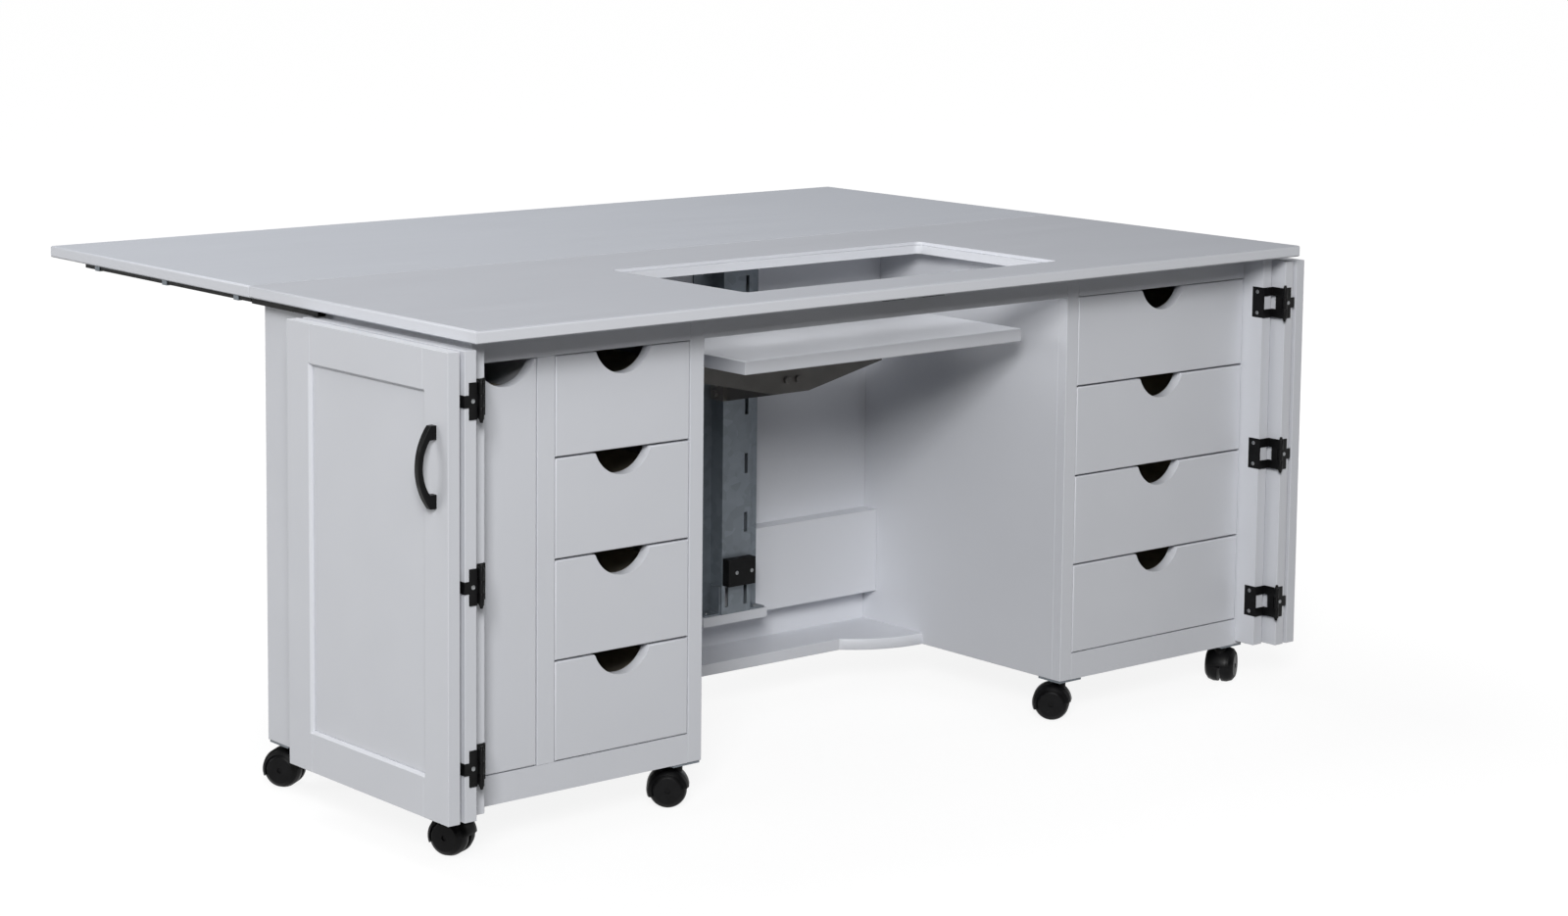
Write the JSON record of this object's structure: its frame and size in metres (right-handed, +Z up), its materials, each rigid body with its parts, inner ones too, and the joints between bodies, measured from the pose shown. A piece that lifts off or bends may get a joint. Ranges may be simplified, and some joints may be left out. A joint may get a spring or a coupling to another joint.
{
  "type": "sewing cabinet",
  "caption": "Folding sewing cabinet on casters with a machine lift, hinged rear leaf, drawers, a narrow pull-out and folding doors.",
  "frame": {"origin": "centre of the bounding box on the floor, leaf raised", "axes": "+X to the right as seen from the front, +Y from the front to the raised leaf, +Z up"},
  "size_m": [1.838, 1.217, 0.775],
  "materials": {
    "laminate": "satin grey-white laminate",
    "white_board": "satin white paint",
    "drawer_wood": "satin white board",
    "zinc_steel": "zinc-plated",
    "arm_steel": "satin dark paint",
    "black_metal": "satin black",
    "black_plastic": "satin black"
  },
  "bodies": {
    "cabinet": {"main_top": "laminate", "left_case": "white_board", "right_case": "white_board", "face_frame": "white_board", "kneehole_back": "white_board", "kneehole_shelf": "white_board", "drawer_slides": "zinc_steel", "case_hinges": "black_metal", "seam_hinges": "zinc_steel", "keepers_and_catches": "black_metal", "lift_column": "zinc_steel", "lift_stop": "black_plastic", "caster_plates": "zinc_steel"},
    "leaf": {"rear_leaf": "laminate", "leaf_hardware": "zinc_steel"},
    "left_bar": {"left_support_bar": "black_metal"},
    "right_bar": {"right_support_bar": "black_metal"},
    "left_inner_door": {"left_inner_door": "white_board", "left_inner_door_hinges": "black_metal"},
    "left_outer_door": {"left_outer_door": "white_board", "left_outer_door_hinges": "black_metal", "left_door_pull": "black_metal"},
    "right_inner_door": {"right_inner_door": "white_board", "right_inner_door_hinges": "black_metal"},
    "right_outer_door": {"right_outer_door": "white_board", "right_outer_door_hinges": "black_metal", "right_door_pull": "black_metal"},
    "left_drawer_4": {"left_drawer_4_front": "white_board", "left_drawer_4_box": "drawer_wood"},
    "left_drawer_3": {"left_drawer_3_front": "white_board", "left_drawer_3_box": "drawer_wood"},
    "left_drawer_2": {"left_drawer_2_front": "white_board", "left_drawer_2_box": "drawer_wood"},
    "left_drawer_1": {"left_drawer_1_front": "white_board", "left_drawer_1_box": "drawer_wood"},
    "right_drawer_4": {"right_drawer_4_front": "white_board", "right_drawer_4_box": "drawer_wood"},
    "right_drawer_3": {"right_drawer_3_front": "white_board", "right_drawer_3_box": "drawer_wood"},
    "right_drawer_2": {"right_drawer_2_front": "white_board", "right_drawer_2_box": "drawer_wood"},
    "right_drawer_1": {"right_drawer_1_front": "white_board", "right_drawer_1_box": "drawer_wood"},
    "pullout": {"pullout_front": "white_board", "pullout_rack": "drawer_wood"},
    "lift": {"lift_carriage": "arm_steel", "lift_platform": "white_board"},
    "left_front_outer_caster": {"left_front_outer_caster_hood": "black_plastic"},
    "left_front_outer_wheels": {"left_front_outer_caster_wheels": "black_plastic"},
    "left_front_inner_caster": {"left_front_inner_caster_hood": "black_plastic"},
    "left_front_inner_wheels": {"left_front_inner_caster_wheels": "black_plastic"},
    "left_rear_caster": {"left_rear_caster_hood": "black_plastic"},
    "left_rear_wheels": {"left_rear_caster_wheels": "black_plastic"},
    "right_front_inner_caster": {"right_front_inner_caster_hood": "black_plastic"},
    "right_front_inner_wheels": {"right_front_inner_caster_wheels": "black_plastic"},
    "right_front_outer_caster": {"right_front_outer_caster_hood": "black_plastic"},
    "right_front_outer_wheels": {"right_front_outer_caster_wheels": "black_plastic"},
    "right_rear_caster": {"right_rear_caster_hood": "black_plastic"},
    "right_rear_wheels": {"right_rear_caster_wheels": "black_plastic"}
  },
  "joints": [
    {"name": "leaf_hinge", "type": "hinge", "parent": "cabinet", "child": "leaf", "pos_m": [0, -0.0145, 0.752], "axis": [1, 0, 0], "range_deg": [-90, 0]},
    {"name": "left_bar_slide", "type": "slide", "parent": "leaf", "child": "left_bar", "axis": [0, -1, 0], "range_m": [0, 0.06]},
    {"name": "right_bar_slide", "type": "slide", "parent": "leaf", "child": "right_bar", "axis": [0, -1, 0], "range_m": [0, 0.06]},
    {"name": "left_door_swing", "type": "hinge", "parent": "cabinet", "child": "left_inner_door", "pos_m": [-0.836, -0.5945, 0.412], "axis": [0, 0, -1], "range_deg": [-270, 0]},
    {"name": "left_door_fold", "type": "hinge", "parent": "left_inner_door", "child": "left_outer_door", "pos_m": [-0.865, -0.175, 0.412], "axis": [0, 0, 1], "range_deg": [-180, 0]},
    {"name": "right_door_swing", "type": "hinge", "parent": "cabinet", "child": "right_inner_door", "pos_m": [0.836, -0.5945, 0.412], "axis": [0, 0, 1], "range_deg": [-270, 0]},
    {"name": "right_door_fold", "type": "hinge", "parent": "right_inner_door", "child": "right_outer_door", "pos_m": [0.865, -0.175, 0.412], "axis": [0, 0, -1], "range_deg": [-180, 0]},
    {"name": "left_drawer_4_slide", "type": "slide", "parent": "cabinet", "child": "left_drawer_4", "axis": [0, -1, 0], "range_m": [0, 0.38]},
    {"name": "left_drawer_3_slide", "type": "slide", "parent": "cabinet", "child": "left_drawer_3", "axis": [0, -1, 0], "range_m": [0, 0.38]},
    {"name": "left_drawer_2_slide", "type": "slide", "parent": "cabinet", "child": "left_drawer_2", "axis": [0, -1, 0], "range_m": [0, 0.38]},
    {"name": "left_drawer_1_slide", "type": "slide", "parent": "cabinet", "child": "left_drawer_1", "axis": [0, -1, 0], "range_m": [0, 0.38]},
    {"name": "right_drawer_4_slide", "type": "slide", "parent": "cabinet", "child": "right_drawer_4", "axis": [0, -1, 0], "range_m": [0, 0.38]},
    {"name": "right_drawer_3_slide", "type": "slide", "parent": "cabinet", "child": "right_drawer_3", "axis": [0, -1, 0], "range_m": [0, 0.38]},
    {"name": "right_drawer_2_slide", "type": "slide", "parent": "cabinet", "child": "right_drawer_2", "axis": [0, -1, 0], "range_m": [0, 0.38]},
    {"name": "right_drawer_1_slide", "type": "slide", "parent": "cabinet", "child": "right_drawer_1", "axis": [0, -1, 0], "range_m": [0, 0.38]},
    {"name": "pullout_slide", "type": "slide", "parent": "cabinet", "child": "pullout", "axis": [0, -1, 0], "range_m": [0, 0.38]},
    {"name": "lift_slide", "type": "slide", "parent": "cabinet", "child": "lift", "axis": [0, 0, 1], "range_m": [-0.266, 0.113]},
    {"name": "left_front_outer_swivel", "type": "hinge", "parent": "cabinet", "child": "left_front_outer_caster", "pos_m": [-0.805, -0.4965, 0.064], "axis": [0, 0, 1], "continuous": true},
    {"name": "left_front_outer_roll", "type": "hinge", "parent": "left_front_outer_caster", "child": "left_front_outer_wheels", "pos_m": [-0.81007, -0.48562, 0.029], "axis": [0.9063, 0.4226, 0], "continuous": true},
    {"name": "left_front_inner_swivel", "type": "hinge", "parent": "cabinet", "child": "left_front_inner_caster", "pos_m": [-0.409, -0.4965, 0.064], "axis": [0, 0, 1], "continuous": true},
    {"name": "left_front_inner_roll", "type": "hinge", "parent": "left_front_inner_caster", "child": "left_front_inner_wheels", "pos_m": [-0.41819, -0.48879, 0.029], "axis": [0.6428, 0.766, 0], "continuous": true},
    {"name": "left_rear_swivel", "type": "hinge", "parent": "cabinet", "child": "left_rear_caster", "pos_m": [-0.805, -0.0505, 0.064], "axis": [0, 0, 1], "continuous": true},
    {"name": "left_rear_roll", "type": "hinge", "parent": "left_rear_caster", "child": "left_rear_wheels", "pos_m": [-0.81188, -0.04067, 0.029], "axis": [0.8192, 0.5736, 0], "continuous": true},
    {"name": "right_front_inner_swivel", "type": "hinge", "parent": "cabinet", "child": "right_front_inner_caster", "pos_m": [0.409, -0.4965, 0.064], "axis": [0, 0, 1], "continuous": true},
    {"name": "right_front_inner_roll", "type": "hinge", "parent": "right_front_inner_caster", "child": "right_front_inner_wheels", "pos_m": [0.40129, -0.48731, 0.029], "axis": [0.766, 0.6428, 0], "continuous": true},
    {"name": "right_front_outer_swivel", "type": "hinge", "parent": "cabinet", "child": "right_front_outer_caster", "pos_m": [0.805, -0.4965, 0.064], "axis": [0, 0, 1], "continuous": true},
    {"name": "right_front_outer_roll", "type": "hinge", "parent": "right_front_outer_caster", "child": "right_front_outer_wheels", "pos_m": [0.81539, -0.4905, 0.029], "axis": [0.5, -0.866, 0], "continuous": true},
    {"name": "right_rear_swivel", "type": "hinge", "parent": "cabinet", "child": "right_rear_caster", "pos_m": [0.805, -0.0505, 0.064], "axis": [0, 0, 1], "continuous": true},
    {"name": "right_rear_roll", "type": "hinge", "parent": "right_rear_caster", "child": "right_rear_wheels", "pos_m": [0.79461, -0.0445, 0.029], "axis": [0.5, 0.866, 0], "continuous": true}
  ],
  "couplings": [
    {"joint": "left_door_fold", "follows": "left_door_swing", "ratio": 0.66667},
    {"joint": "right_door_fold", "follows": "right_door_swing", "ratio": 0.66667}
  ]
}
